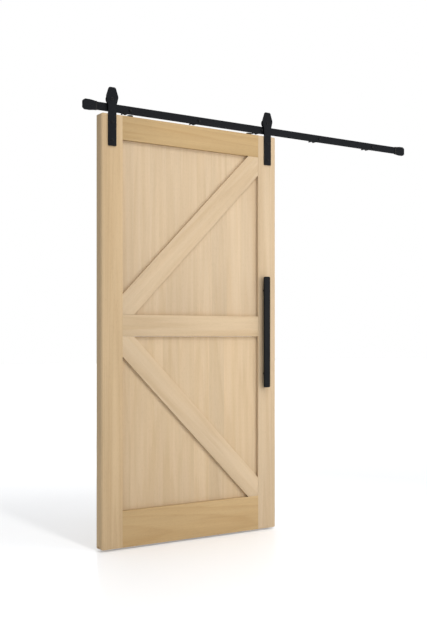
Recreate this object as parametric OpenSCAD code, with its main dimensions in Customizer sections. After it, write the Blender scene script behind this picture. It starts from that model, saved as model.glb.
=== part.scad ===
// Sliding barn door: a K-braced timber leaf that rolls along a flat wall track.
// Millimetres, +Z up, the wall on the plane y = 0 and the door in front of it, towards -Y.
// The origin is the middle wall screw, where its axis meets the wall.

/* [Door leaf] */
// Width of the leaf
door_w = 1067; // [860:1:1290]
// Height of the leaf
door_h = 2134; // [1780:1:2570]
// Thickness of the frame
door_t = 57; // [48:1:68]
// Width of both stiles
stile_w = 119; // [95:1:150]
// Height of the top rail
top_rail_h = 119; // [90:1:150]
// Height of the middle rail
middle_rail_h = 108; // [85:1:140]
// Height of the bottom rail
bottom_rail_h = 181; // [140:1:220]
// Height of the middle rail's centre line above the leaf's lower edge
middle_rail_z = 1098; // [850:1:1300]
// Radius on the leaf's four upright outer edges
edge_r = 12; // [3:0.5:20]

/* [Panels and braces] */
// Thickness of the floating panels
panel_t = 27; // [22:0.5:32]
// Thickness of the tongue around a panel
tongue_t = 14; // [10:0.5:17]
// How far a panel's tongue goes into the frame
panel_tongue = 12; // [8:0.5:15]
// Room left for a panel to swell at the bottom of its groove
panel_swell = 2; // [1:0.5:4]
// Room on each face of a tongue inside its groove
panel_fit = 0.2; // [0.1:0.05:0.5]
// Gap between a panel's shoulders and the frame
panel_shoulder_fit = 0.5; // [0.3:0.1:1]
// Width of the diagonal braces
brace_w = 115; // [90:1:160]
// How far up the stile a brace's centre line starts from the corner of its bay
brace_heel = 17; // [0:1:40]
// How far the braces lie below the frame's face
brace_inset = 1; // [0.5:0.5:4]
// Gap between a brace and the frame around it
brace_fit = 0.2; // [0.1:0.05:0.5]

/* [Joinery] */
// Thickness of the tenons
tenon_t = 18; // [14:0.5:20]
// Length of the middle and bottom rails' tenons
tenon_l = 45; // [30:1:54]
// Wood left between the top rail's tenons and the hanger bolts' holes
tenon_bolt_wood = 8.8; // [4:0.1:15]
// Shoulder above and below a tenon
tenon_shoulder = 17; // [15:1:22]
// Extra wood left over the guide groove and at the top of the leaf
tenon_haunch = 14; // [5:1:20]
// Gap around a tenon in its mortise
tenon_fit = 0.1; // [0.05:0.05:0.3]
// Width of the groove for a floor guide, in the leaf's lower edge
guide_groove_w = 12; // [8:0.5:16]
// Depth of the floor guide's groove
guide_groove_d = 15; // [10:0.5:18]

/* [Track] */
// Length of the rail
rail_l = 2134; // [1820:1:2570]
// Height of the rail
rail_h = 40; // [34:0.5:50]
// Thickness of the rail
rail_t = 6; // [5:0.5:8]
// Distance between wall screws
screw_pitch = 406.4; // [338:0.1:488]
// Least distance from an end stop's bumper to a wall spacer
screw_end_clear = 20; // [5:1:60]
// Length of the wall spacers
spacer_l = 53; // [46:1:64]
// Radius of the wall spacers
spacer_r = 12.5; // [10:0.5:14]
// Gap between the leaf's top and the rail
rail_gap = 12; // [9:0.5:16]
// How far the leaf stands in from the rail's left end
door_start = 88; // [70:1:200]

/* [Wall screws] */
// Radius of a wall screw's shank
screw_r = 4; // [3:0.5:4.5]
// Radius of the holes that the wall screws pass through
screw_hole_r = 5.5; // [5.1:0.1:6.5]
// How far a wall screw goes into the wall
screw_bite = 43; // [35:1:60]
// Length of a wall screw's point
screw_point = 9; // [5:0.5:12]
// Width across the flats of a wall screw's head
screw_head_w = 12.7; // [10:0.1:14]
// Height of a wall screw's hexagon
screw_head_h = 5; // [4:0.1:5.5]
// Radius of the flange under the head
screw_flange_r = 8.5; // [8:0.1:10]
// Thickness of that flange
screw_flange_t = 1.2; // [1:0.1:1.5]

/* [End stops] */
// Length of rail that a stop covers
stop_grip = 62; // [45:1:75]
// Wall of a stop beyond the rail's end
stop_end_wall = 5; // [4:0.5:7]
// Cheek of a stop on each face of the rail
stop_cheek = 3; // [2:0.25:4]
// How far a stop stands above and below the rail at its middle
stop_rise = 5.5; // [4.5:0.5:9]
// How far a stop's outer end is cut back from the rail's upper and lower edges
stop_end_drop = 3; // [1:0.5:4]
// Distance of a stop's shoulders from its outer end
stop_shoulder = 10; // [8:0.5:12]
// Distance from a stop's outer end to where it narrows towards the rail
stop_narrow_at = 39; // [32:1:45]
// Wall of a stop above and below the rail at its inner end
stop_lip = 1.5; // [1:0.25:3]
// Length of a rubber bumper
bumper_l = 8; // [5:0.5:14]
// How far a bumper stands above and below the rail
bumper_rise = 2; // [1:0.25:3]
// Gap between the rail and what wraps it
wrap_fit = 0.1; // [0.05:0.05:0.3]
// Radius of the grub screws
grub_r = 2.5; // [2:0.25:3]
// Distance of each grub screw from the rail's centre line
grub_offset = 12; // [8:0.5:14]

/* [Hangers] */
// Width of a strap
strap_w = 45; // [38:0.5:54]
// Thickness of a strap
strap_t = 6; // [5:0.5:8]
// How far a strap reaches down the leaf
strap_drop = 157; // [130:1:190]
// Width of a strap's head at its widest
head_w = 68; // [60:0.5:80]
// Width of a strap's head at the top
head_top_w = 36; // [28:0.5:44]
// Height of the head's top above the rail
head_top = 78; // [70:0.5:94]
// Height of the head's widest place above the rail
head_wide = 31; // [25:0.5:38]
// How far below the rail's top the head narrows to the strap
head_neck = 13; // [5:0.5:20]
// Distance of the lower bolt from a strap's lower end
strap_bolt_low = 28; // [20:1:40]
// Distance between a strap's two bolts
strap_bolt_pitch = 88; // [75:1:100]
// Radius of the hanger bolts
bolt_r = 4; // [3:0.5:5]
// Gap around a bolt in its hole
bolt_fit = 0.2; // [0.1:0.05:0.4]
// Radius of a hanger bolt's domed head
bolt_head_r = 8; // [7:0.25:10]
// Height of a hanger bolt's head
bolt_head_h = 4; // [3:0.25:5]
// Radius of a sleeve nut's barrel
sleeve_r = 5.5; // [5:0.25:6.5]
// Length of a sleeve nut's barrel
sleeve_l = 28; // [20:1:32]

/* [Wheels] */
// Radius of the tread that rolls on the rail
tread_r = 20; // [18:0.5:24]
// Depth of a wheel's groove
flange_d = 5; // [4:0.25:7]
// Thickness of a wheel
wheel_t = 20; // [18:0.5:24]
// Room on each side of the rail in a wheel's groove
groove_side = 1; // [0.5:0.25:1.5]
// Gap between the tread and the rail's top
tread_gap = 0.3; // [0.2:0.05:0.5]
// Gap between a wheel and its strap
wheel_gap = 1.5; // [1:0.25:3]

/* [Bearings] */
// Outer radius of a bearing
bearing_r = 13; // [12:0.25:15]
// Radius of the axle's hole in a bearing
axle_hole_r = 5; // [4:0.25:5.5]
// Width of a bearing
bearing_w = 8; // [7:0.25:9]
// Radius of the circle that the balls run on
ball_circle_r = 9; // [8.75:0.05:9.5]
// Radius of a ball
ball_r = 2.2; // [1.9:0.05:2.3]
// Number of balls in a bearing
ball_count = 7; // [6:1:8]
// Gap between a ball and its races
race_gap = 0.3; // [0.1:0.05:0.4]
// Gap between pieces pressed or screwed together
press_gap = 0.02; // [0.01:0.01:0.05]
// Gap between the axle and the bearing on it
axle_gap = 0.05; // [0.02:0.01:0.1]

/* [Anti-jump discs] */
// Radius of a disc
disc_r = 15; // [12:0.5:18]
// Gap between a disc and the rail, less than the wheel's flange
disc_gap = 3.5; // [2.5:0.25:4]
// Distance of each disc from the leaf's nearer edge
disc_inset = 170; // [140:1:220]
// How far a disc's screw lies behind the rail's centre plane
disc_back = 7; // [4:0.5:9]
// Radius of a disc's screw
disc_screw_r = 2.25; // [1.75:0.25:3]
// Length of a disc's screw in the leaf
disc_screw_l = 32; // [20:1:45]

/* [Pull] */
// Length of the pull
pull_l = 600; // [500:1:720]
// Width of the pull
pull_w = 38; // [32:0.5:46]
// Thickness of the pull
pull_t = 10; // [8:0.5:12]
// Corner radius of the pull
pull_corner_r = 8; // [4:0.5:12]
// Finger gap between the pull and the leaf
pull_gap = 20; // [18:0.5:30]
// Height of the pull's middle above the leaf's lower edge
pull_z = 1068; // [1000:1:1150]
// Distance of the pull's centre line from the leaf's right edge
pull_inset = 79; // [66:1:85]
// Distance of each post from the pull's end
post_inset = 75; // [60:1:120]
// Radius of a post
post_r = 7; // [6:0.25:9]
// Radius of the post's threaded end in the pull
post_stub_r = 4; // [3:0.25:5]
// Length of that threaded end
post_stub_l = 6; // [4:0.5:7]
// Radius of the bolts that hold the posts
post_bolt_r = 3; // [2.5:0.25:4]
// How far those bolts go into the posts
post_bolt_bite = 14; // [10:0.5:16]

/* [Hidden] */
$fn = 64;

TIMBER = [0.80, 0.66, 0.48];
PANEL_TIMBER = [0.84, 0.72, 0.56];
BLACK_STEEL = [0.11, 0.11, 0.12];
RUBBER = [0.05, 0.05, 0.05];
BRIGHT_STEEL = [0.70, 0.71, 0.73];
BRASS = [0.72, 0.58, 0.32];
CUT = 1;                                  // how far a cut runs past the face it opens
round_steps = 8;                          // straight steps in a rounded corner of a flat plate

// Track
screw_reach = rail_l / 2 - stop_grip - bumper_l - screw_end_clear - spacer_r;
screws_each_way = floor(screw_reach / screw_pitch);  // wall screws on each side of the middle one
rail_back_y = -spacer_l;
rail_mid_y = rail_back_y - rail_t / 2;
rail_front_y = rail_back_y - rail_t;
rail_top_z = rail_h / 2;
rail_bottom_z = -rail_h / 2;

// Wheels and straps, measured from the rail
wheel_front_y = rail_mid_y - wheel_t / 2;
wheel_back_y = rail_mid_y + wheel_t / 2;
strap_back_y = wheel_front_y - wheel_gap;
strap_front_y = strap_back_y - strap_t;
axle_z = rail_top_z + tread_gap + tread_r;
flange_r = tread_r + flange_d;
groove_w = rail_t + 2 * groove_side;

// Leaf: its front face is the straps' back face
door_x = -rail_l / 2 + door_start;
door_y = strap_back_y;
door_z = rail_bottom_z - rail_gap - door_h;
door_top_z = door_z + door_h;
door_back_y = door_y + door_t;
panel_y = (door_t - panel_t) / 2;         // a panel's front face, from the leaf's front face
bay_w = door_w - 2 * stile_w;
lower_bay_z = bottom_rail_h;
upper_bay_z = middle_rail_z + middle_rail_h / 2;
lower_bay_h = middle_rail_z - middle_rail_h / 2 - bottom_rail_h;
upper_bay_h = door_h - top_rail_h - upper_bay_z;
groove_d = panel_tongue + panel_swell;
groove_t = tongue_t + 2 * panel_fit;
tongue_y = (door_t - tongue_t) / 2;
brace_t = panel_y - brace_inset;

// Hangers stand on the stiles' centre lines
hanger_inset = stile_w / 2;
hanger_xs = [door_x + hanger_inset, door_x + door_w - hanger_inset];
strap_end_z = door_top_z - strap_drop;
strap_bolt_zs = [strap_end_z + strap_bolt_low, strap_end_z + strap_bolt_low + strap_bolt_pitch];
bolt_hole_r = bolt_r + bolt_fit;
sleeve_hole_r = sleeve_r + bolt_fit;
sleeve_head_r = bolt_head_r;
sleeve_head_h = 2;
bolt_bite = sleeve_l - 6;                 // how far a bolt runs into its sleeve nut
head_corner_r = 7;                        // rounding of a strap's head
strap_end_r = 3;
socket_share = 0.42;                      // a hexagon socket's radius as a share of its head's
socket_depth_share = 0.55;

// Tenons as [lower end, upper end, length], their ends above the leaf's lower edge
top_tenon_l = stile_w - hanger_inset - sleeve_hole_r - tenon_bolt_wood;
bottom_tenon = [tenon_shoulder + tenon_haunch, bottom_rail_h - tenon_shoulder, tenon_l];
middle_tenon = [middle_rail_z - middle_rail_h / 2 + tenon_shoulder,
                middle_rail_z + middle_rail_h / 2 - tenon_shoulder, tenon_l];
top_tenon = [door_h - top_rail_h + tenon_shoulder, door_h - tenon_shoulder - tenon_haunch,
             top_tenon_l];
TENONS = [bottom_tenon, middle_tenon, top_tenon];

// Axles: bolt head, strap, spacer, bearing, washer, nut
axle_r = axle_hole_r - axle_gap;
axle_head_r = 9;
axle_head_h = 4.5;
bearing_front_y = rail_mid_y - bearing_w / 2;
bearing_back_y = rail_mid_y + bearing_w / 2;
race_r = ball_r + race_gap;
inner_ring_r = ball_circle_r - ball_r + 0.1;
outer_ring_bore_r = ball_circle_r + ball_r;
axle_spacer_r = inner_ring_r;
axle_washer_t = 1.5;
axle_nut_w = 17;
axle_nut_t = 5;
axle_end = 1;                             // bolt showing past its nut
axle_tip_y = bearing_back_y + axle_washer_t + axle_nut_t + axle_end;
hub_front_r = bearing_r - 2.2;            // shoulder that the bearing is pressed against
wheel_rim_ease = 1;
seal_t = 0.5;
seal_inset = 0.4;
seal_gap = 0.3;
cage_t = 1.4;
cage_w = bearing_w - 2 * (seal_inset + seal_t + seal_gap);
pocket_gap = 0.1;

// Anti-jump discs
disc_h = rail_gap - disc_gap;
disc_y = rail_mid_y + disc_back;
disc_xs = [door_x + disc_inset, door_x + door_w - disc_inset];
disc_screw_head_r = 2 * disc_screw_r;

// End stops, measured from the rail's end towards its middle
stop_t = rail_t + 2 * stop_cheek;
stop_h = rail_h + 2 * stop_rise;
stop_end_h = rail_h - 2 * stop_end_drop;
stop_corner_r = 4;
grub_at = (stop_shoulder + stop_narrow_at) / 2 - stop_end_wall;
grub_socket_r = grub_r / 2;
bumper_at = stop_grip;

// Pull
pull_x = door_x + door_w - pull_inset;
pull_mid_z = door_z + pull_z;
pull_back_y = door_y - pull_gap;
post_zs = [pull_mid_z - pull_l / 2 + post_inset, pull_mid_z + pull_l / 2 - post_inset];
post_bolt_head_r = 2.2 * post_bolt_r;
post_bolt_head_h = 2.5;

// ---------- shapes ----------

// Cylinder along +Y from y0 to y1
module along_y(r, y0, y1) {
    translate([0, y0, 0]) rotate([-90, 0, 0]) cylinder(r = r, h = y1 - y0);
}

// Ring along +Y from y0 to y1
module ring_y(r, bore, y0, y1) {
    difference() {
        along_y(r, y0, y1);
        along_y(bore, y0 - CUT, y1 + CUT);
    }
}

// Solid of revolution about Y: the profile's x is the radius and its y runs along +Y
module revolve_y() {
    rotate([-90, 0, 0]) rotate_extrude() children();
}

// Flat plate in the X-Z plane, from y0 to y0 + t
module plate_y(y0, t) {
    translate([0, y0 + t, 0]) rotate([90, 0, 0]) linear_extrude(height = t) children();
}

// Domed head whose flat face is at the origin and whose top points along -Y
module domed_head(r, h) {
    base = h / 4;
    rise = h - base;
    dome_r = (r * r + rise * rise) / (2 * rise);
    difference() {
        union() {
            along_y(r, -base, 0);
            intersection() {
                along_y(r, -h, -base);
                translate([0, dome_r - h, 0]) sphere(r = dome_r);
            }
        }
        translate([0, -h - CUT, 0]) rotate([-90, 0, 0])
            cylinder(r = r * socket_share, h = CUT + h * socket_depth_share, $fn = 6);
    }
}

// Hexagon bar along +Y, w across the flats
module hexagon_y(w, y0, y1) {
    translate([0, y0, 0]) rotate([-90, 0, 0]) cylinder(r = w / sqrt(3), h = y1 - y0, $fn = 6);
}

function unit(v) = v / norm(v);
// Half of the angle at b between its neighbours a and c
function half_angle(a, b, c) = acos(unit(a - b) * unit(c - b)) / 2;
// Where a rounding of radius r at corner b starts and ends
function round_ends(a, b, c, r) =
    let (along = r / tan(half_angle(a, b, c)))
    [b + unit(a - b) * along, b + unit(c - b) * along];
// Centre of that rounding
function round_centre(a, b, c, r) =
    b + unit(unit(a - b) + unit(c - b)) * r / sin(half_angle(a, b, c));
// Points along that rounding
function round_points(a, b, c, r) =
    let (centre = round_centre(a, b, c, r), ends = round_ends(a, b, c, r),
         from = ends[0] - centre, to = ends[1] - centre,
         start = atan2(from.y, from.x), turn = atan2(cross(from, to), from * to))
    [for (k = [0:round_steps]) centre + r * [cos(start + turn * k / round_steps),
                                             sin(start + turn * k / round_steps)]];

// Outline of corners given as [x, y, radius]: an arc rounds each one whose radius is not 0
module rounded_outline(corners) {
    n = len(corners);
    points = [for (c = corners) [c[0], c[1]]];
    polygon([for (i = [0:n - 1]) each corners[i][2] > 0
        ? round_points(points[(i + n - 1) % n], points[i], points[(i + 1) % n], corners[i][2])
        : [points[i]]]);
}

// Upright rectangle about the origin with four rounded corners
module rounded_rectangle(w, h, r) {
    rounded_outline([[-w / 2, -h / 2, r], [w / 2, -h / 2, r], [w / 2, h / 2, r], [-w / 2, h / 2, r]]);
}

// ---------- track ----------

module at_wall_screws() {
    for (i = [-screws_each_way:screws_each_way]) translate([i * screw_pitch, 0, 0]) children();
}

module track_rail() {
    color(BLACK_STEEL) difference() {
        translate([-rail_l / 2, rail_front_y, rail_bottom_z]) cube([rail_l, rail_t, rail_h]);
        at_wall_screws() along_y(screw_hole_r, rail_front_y - CUT, rail_back_y + CUT);
    }
}

module wall_spacers() {
    color(BLACK_STEEL) at_wall_screws() ring_y(spacer_r, screw_hole_r, rail_back_y, 0);
}

module wall_screws() {
    color(BLACK_STEEL) at_wall_screws() {
        hexagon_y(screw_head_w, rail_front_y - screw_flange_t - screw_head_h,
                  rail_front_y - screw_flange_t);
        along_y(screw_flange_r, rail_front_y - screw_flange_t, rail_front_y);
        along_y(screw_r, rail_front_y, screw_bite - screw_point);
        translate([0, screw_bite - screw_point, 0]) rotate([-90, 0, 0])
            cylinder(r1 = screw_r, r2 = 0, h = screw_point);
    }
}

// The stop's own frame: x runs from the rail's end towards its middle
module end_stop_shape() {
    outer = -stop_end_wall;
    shoulder = outer + stop_shoulder;
    narrow = outer + stop_narrow_at;
    inner_h = rail_h + 2 * stop_lip;
    difference() {
        plate_y(rail_mid_y - stop_t / 2, stop_t)
            rounded_outline([[outer, -stop_end_h / 2, stop_corner_r],
                             [shoulder, -stop_h / 2, stop_corner_r],
                             [narrow, -stop_h / 2, stop_corner_r],
                             [stop_grip, -inner_h / 2, 0],
                             [stop_grip, inner_h / 2, 0],
                             [narrow, stop_h / 2, stop_corner_r],
                             [shoulder, stop_h / 2, stop_corner_r],
                             [outer, stop_end_h / 2, stop_corner_r]]);
        translate([0, rail_front_y - wrap_fit, rail_bottom_z - wrap_fit])
            cube([stop_grip + CUT, rail_t + 2 * wrap_fit, rail_h + 2 * wrap_fit]);
        at_grub_screws() along_y(grub_r + press_gap, rail_mid_y - stop_t / 2 - CUT, rail_mid_y);
    }
}

module at_grub_screws() {
    for (side = [-1, 1]) translate([grub_at, 0, side * grub_offset]) children();
}

module bumper_shape() {
    difference() {
        translate([bumper_at, rail_mid_y - stop_t / 2, rail_bottom_z - bumper_rise])
            cube([bumper_l, stop_t, rail_h + 2 * bumper_rise]);
        translate([bumper_at - CUT, rail_front_y - wrap_fit, rail_bottom_z - wrap_fit])
            cube([bumper_l + 2 * CUT, rail_t + 2 * wrap_fit, rail_h + 2 * wrap_fit]);
    }
}

// Places a stop's own frame on the rail's left end, or mirrored on its right end
module at_rail_end(side) {
    mirror([side == "right" ? 1 : 0, 0, 0]) translate([-rail_l / 2, 0, 0]) children();
}

module end_stop(side) {
    color(BLACK_STEEL) at_rail_end(side) end_stop_shape();
}

module end_stop_grub_screws() {
    grub_front_y = rail_mid_y - stop_t / 2 + 0.3;
    color(BLACK_STEEL) for (side = ["left", "right"]) at_rail_end(side) at_grub_screws()
        difference() {
            along_y(grub_r, grub_front_y, rail_front_y);
            hexagon_y(2 * grub_socket_r, grub_front_y - CUT, grub_front_y + stop_cheek / 2);
        }
}

module stop_bumper(side) {
    color(RUBBER) at_rail_end(side) bumper_shape();
}

// ---------- leaf ----------

// The leaf's own frame: x from its left edge, y from its front face, z from its lower edge
module in_leaf() {
    translate([door_x, door_y, door_z]) children();
}

// Panel groove cut into a frame piece: it runs over a box that starts at from
module panel_groove(from, size) {
    translate([from.x, tongue_y - panel_fit, from.y]) cube([size.x, groove_t, size.y]);
}

module guide_groove() {
    translate([-CUT, (door_t - guide_groove_w) / 2, -CUT])
        cube([door_w + 2 * CUT, guide_groove_w, guide_groove_d + CUT]);
}

// Stile standing at x = 0 with its outer edge on the left; the right stile mirrors it
module stile_blank() {
    difference() {
        linear_extrude(height = door_h) {
            translate([edge_r, 0]) square([stile_w - edge_r, door_t]);
            translate([0, edge_r]) square([stile_w, door_t - 2 * edge_r]);
            for (y = [edge_r, door_t - edge_r]) translate([edge_r, y]) circle(r = edge_r);
        }
        for (tenon = TENONS)
            translate([stile_w - tenon[2] - CUT, (door_t - tenon_t) / 2 - tenon_fit,
                       tenon[0] - tenon_fit])
                cube([tenon[2] + 2 * CUT, tenon_t + 2 * tenon_fit,
                      tenon[1] - tenon[0] + 2 * tenon_fit]);
        panel_groove([stile_w - groove_d, lower_bay_z - groove_d],
                     [groove_d + CUT, lower_bay_h + 2 * groove_d]);
        panel_groove([stile_w - groove_d, upper_bay_z - groove_d],
                     [groove_d + CUT, upper_bay_h + 2 * groove_d]);
        guide_groove();
    }
}

// Holes for a hanger's bolts and sleeve nuts, in the row's own frame
module hanger_holes(x) {
    for (z = strap_bolt_zs) translate([x, 0, z]) {
        along_y(bolt_hole_r, door_y - CUT, door_back_y + CUT);
        along_y(sleeve_hole_r, door_back_y - sleeve_l - CUT, door_back_y + CUT);
    }
}

module left_stile() {
    color(TIMBER) difference() {
        in_leaf() stile_blank();
        hanger_holes(hanger_xs[0]);
    }
}

module right_stile() {
    color(TIMBER) difference() {
        in_leaf() translate([door_w, 0, 0]) mirror([1, 0, 0]) stile_blank();
        hanger_holes(hanger_xs[1]);
        at_posts() along_y(post_bolt_r + bolt_fit, door_y - CUT, door_back_y + CUT);
    }
}

// Rail between the stiles with a tenon at each end, from z0 to z1 above the lower edge
module cross_rail(z0, z1, tenon) {
    translate([stile_w, 0, z0]) cube([bay_w, door_t, z1 - z0]);
    translate([stile_w - tenon[2], (door_t - tenon_t) / 2, tenon[0]])
        cube([bay_w + 2 * tenon[2], tenon_t, tenon[1] - tenon[0]]);
}

module top_rail() {
    z0 = door_h - top_rail_h;
    color(TIMBER) difference() {
        in_leaf() difference() {
            cross_rail(z0, door_h, top_tenon);
            panel_groove([stile_w - CUT, z0 - CUT], [bay_w + 2 * CUT, groove_d + CUT]);
        }
        at_discs() translate([0, 0, door_top_z - disc_screw_l - CUT])
            cylinder(r = disc_screw_r + press_gap, h = disc_screw_l + 2 * CUT);
    }
}

module middle_rail() {
    z0 = middle_rail_z - middle_rail_h / 2;
    z1 = middle_rail_z + middle_rail_h / 2;
    color(TIMBER) in_leaf() difference() {
        cross_rail(z0, z1, middle_tenon);
        panel_groove([stile_w - CUT, z0 - CUT], [bay_w + 2 * CUT, groove_d + CUT]);
        panel_groove([stile_w - CUT, z1 - groove_d], [bay_w + 2 * CUT, groove_d + CUT]);
    }
}

module bottom_rail() {
    color(TIMBER) in_leaf() difference() {
        cross_rail(0, bottom_rail_h, bottom_tenon);
        panel_groove([stile_w - CUT, bottom_rail_h - groove_d], [bay_w + 2 * CUT, groove_d + CUT]);
        guide_groove();
    }
}

// Panel with a tongue all round that floats in the frame's groove
module panel(bay_z, bay_h) {
    color(PANEL_TIMBER) in_leaf() translate([stile_w, 0, bay_z]) {
        translate([panel_shoulder_fit, panel_y, panel_shoulder_fit])
            cube([bay_w - 2 * panel_shoulder_fit, panel_t, bay_h - 2 * panel_shoulder_fit]);
        translate([-panel_tongue, tongue_y, -panel_tongue])
            cube([bay_w + 2 * panel_tongue, tongue_t, bay_h + 2 * panel_tongue]);
    }
}

// Diagonal board across a bay, from its left side to its right, rising or falling
module brace_outline(bay_h, rising) {
    slope = atan2(bay_h - 2 * brace_heel, bay_w);
    reach = norm([bay_w, bay_h]) + brace_w;
    intersection() {
        translate([brace_fit, brace_fit]) square([bay_w - 2 * brace_fit, bay_h - 2 * brace_fit]);
        translate([bay_w / 2, bay_h / 2]) rotate(rising ? slope : -slope)
            square([reach, brace_w], center = true);
    }
}

module brace(bay_z, bay_h, rising, face_y) {
    color(TIMBER) in_leaf() translate([stile_w, 0, bay_z]) plate_y(face_y, brace_t)
        brace_outline(bay_h, rising);
}

// ---------- hangers ----------

module hanger_strap(x) {
    neck_z = rail_top_z - head_neck;
    wide_z = rail_top_z + head_wide;
    top_z = rail_top_z + head_top;
    color(BLACK_STEEL) translate([x, 0, 0]) difference() {
        plate_y(strap_front_y, strap_t)
            rounded_outline([[-strap_w / 2, strap_end_z, strap_end_r],
                             [strap_w / 2, strap_end_z, strap_end_r],
                             [strap_w / 2, neck_z, 0],
                             [head_w / 2, wide_z, head_corner_r],
                             [head_top_w / 2, top_z, head_corner_r],
                             [-head_top_w / 2, top_z, head_corner_r],
                             [-head_w / 2, wide_z, head_corner_r],
                             [-strap_w / 2, neck_z, 0]]);
        for (z = strap_bolt_zs)
            translate([0, 0, z]) along_y(bolt_hole_r, strap_front_y - CUT, strap_back_y + CUT);
        translate([0, 0, axle_z])
            along_y(axle_hole_r, strap_front_y - CUT, strap_back_y + CUT);
    }
}

module at_hanger_bolts() {
    for (x = hanger_xs, z = strap_bolt_zs) translate([x, 0, z]) children();
}

module hanger_bolts() {
    color(BLACK_STEEL) at_hanger_bolts() {
        translate([0, strap_front_y, 0]) domed_head(bolt_head_r, bolt_head_h);
        along_y(bolt_r, strap_front_y, door_back_y - sleeve_l + bolt_bite);
    }
}

module hanger_sleeve_nuts() {
    color(BLACK_STEEL) at_hanger_bolts() difference() {
        union() {
            along_y(sleeve_r, door_back_y - sleeve_l, door_back_y);
            along_y(sleeve_head_r, door_back_y, door_back_y + sleeve_head_h);
        }
        along_y(bolt_r + press_gap, door_back_y - sleeve_l - CUT, door_back_y - sleeve_l + bolt_bite + CUT);
    }
}

// ---------- axles and wheels ----------

module at_axles() {
    for (x = hanger_xs) translate([x, 0, axle_z]) children();
}

module axle_bolts() {
    color(BLACK_STEEL) at_axles() {
        translate([0, strap_front_y, 0]) domed_head(axle_head_r, axle_head_h);
        along_y(axle_r, strap_front_y, axle_tip_y);
    }
}

module axle_spacers() {
    color(BRIGHT_STEEL) at_axles()
        ring_y(axle_spacer_r, axle_hole_r, strap_back_y, bearing_front_y);
}

module bearing_inner_rings() {
    color(BRIGHT_STEEL) at_axles() translate([0, rail_mid_y, 0]) revolve_y() difference() {
        translate([axle_hole_r, -bearing_w / 2]) square([inner_ring_r - axle_hole_r, bearing_w]);
        translate([ball_circle_r, 0]) circle(r = race_r);
    }
}

module axle_washers() {
    color(BRIGHT_STEEL) at_axles()
        ring_y(axle_spacer_r, axle_hole_r, bearing_back_y, bearing_back_y + axle_washer_t);
}

module axle_nuts() {
    nut_y = bearing_back_y + axle_washer_t;
    color(BLACK_STEEL) at_axles() difference() {
        hexagon_y(axle_nut_w, nut_y, nut_y + axle_nut_t);
        along_y(axle_r + press_gap, nut_y - CUT, nut_y + axle_nut_t + CUT);
    }
}

module wheel(x) {
    half = wheel_t / 2;
    seat_r = bearing_r + press_gap;
    color(BLACK_STEEL) translate([x, rail_mid_y, axle_z]) revolve_y() polygon([
        [hub_front_r, -half], [flange_r - wheel_rim_ease, -half], [flange_r, -half + wheel_rim_ease],
        [flange_r, -groove_w / 2 - wheel_rim_ease], [flange_r - wheel_rim_ease, -groove_w / 2],
        [tread_r, -groove_w / 2], [tread_r, groove_w / 2],
        [flange_r - wheel_rim_ease, groove_w / 2], [flange_r, groove_w / 2 + wheel_rim_ease],
        [flange_r, half - wheel_rim_ease], [flange_r - wheel_rim_ease, half],
        [seat_r, half], [seat_r, -bearing_w / 2], [hub_front_r, -bearing_w / 2]]);
}

module bearing_outer_ring(x) {
    color(BRIGHT_STEEL) translate([x, rail_mid_y, axle_z]) revolve_y() difference() {
        translate([outer_ring_bore_r, -bearing_w / 2])
            square([bearing_r - outer_ring_bore_r, bearing_w]);
        translate([ball_circle_r, 0]) circle(r = race_r);
    }
}

module bearing_seals(x) {
    color(RUBBER) translate([x, rail_mid_y, axle_z]) for (side = [-1, 1])
        translate([0, side * (bearing_w / 2 - seal_inset - seal_t / 2), 0])
            ring_y(outer_ring_bore_r - press_gap, inner_ring_r + seal_gap, -seal_t / 2, seal_t / 2);
}

module at_balls(x) {
    translate([x, rail_mid_y, axle_z]) for (i = [0:ball_count - 1])
        rotate([0, i * 360 / ball_count, 0]) translate([0, 0, ball_circle_r]) children();
}

module bearing_cage(x) {
    color(BRASS) difference() {
        translate([x, rail_mid_y, axle_z])
            ring_y(ball_circle_r + cage_t / 2, ball_circle_r - cage_t / 2, -cage_w / 2, cage_w / 2);
        at_balls(x) cylinder(r = ball_r + pocket_gap, h = 2 * cage_t, center = true);
    }
}

module bearing_balls(x) {
    color(BRIGHT_STEEL) at_balls(x) sphere(r = ball_r);
}

// ---------- anti-jump discs ----------

module at_discs() {
    for (x = disc_xs) translate([x, disc_y, 0]) children();
}

module anti_jump_discs() {
    color(BLACK_STEEL) at_discs() translate([0, 0, door_top_z]) difference() {
        cylinder(r = disc_r, h = disc_h);
        translate([0, 0, -CUT]) cylinder(r = disc_screw_r + bolt_fit, h = disc_h + 2 * CUT);
        translate([0, 0, disc_h - disc_screw_r])
            cylinder(r1 = disc_screw_r + bolt_fit, r2 = disc_screw_head_r + bolt_fit, h = disc_screw_r);
        translate([0, 0, disc_h]) cylinder(r = disc_screw_head_r + bolt_fit, h = CUT);
    }
}

module anti_jump_screws() {
    color(BLACK_STEEL) at_discs() {
        translate([0, 0, door_top_z - disc_screw_l])
            cylinder(r = disc_screw_r, h = disc_screw_l + disc_h - disc_screw_r);
        translate([0, 0, door_top_z + disc_h - disc_screw_r])
            cylinder(r1 = disc_screw_r, r2 = disc_screw_head_r, h = disc_screw_r);
    }
}

// ---------- pull ----------

module at_posts() {
    for (z = post_zs) translate([pull_x, 0, z]) children();
}

module pull_bar() {
    color(BLACK_STEEL) difference() {
        translate([pull_x, 0, pull_mid_z]) plate_y(pull_back_y - pull_t, pull_t)
            rounded_rectangle(pull_w, pull_l, pull_corner_r);
        at_posts() along_y(post_stub_r + press_gap, pull_back_y - post_stub_l, pull_back_y + CUT);
    }
}

module pull_posts() {
    color(BLACK_STEEL) at_posts() difference() {
        union() {
            along_y(post_r, pull_back_y, door_y);
            along_y(post_stub_r, pull_back_y - post_stub_l, pull_back_y);
        }
        along_y(post_bolt_r + press_gap, door_y - post_bolt_bite, door_y + CUT);
    }
}

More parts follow.
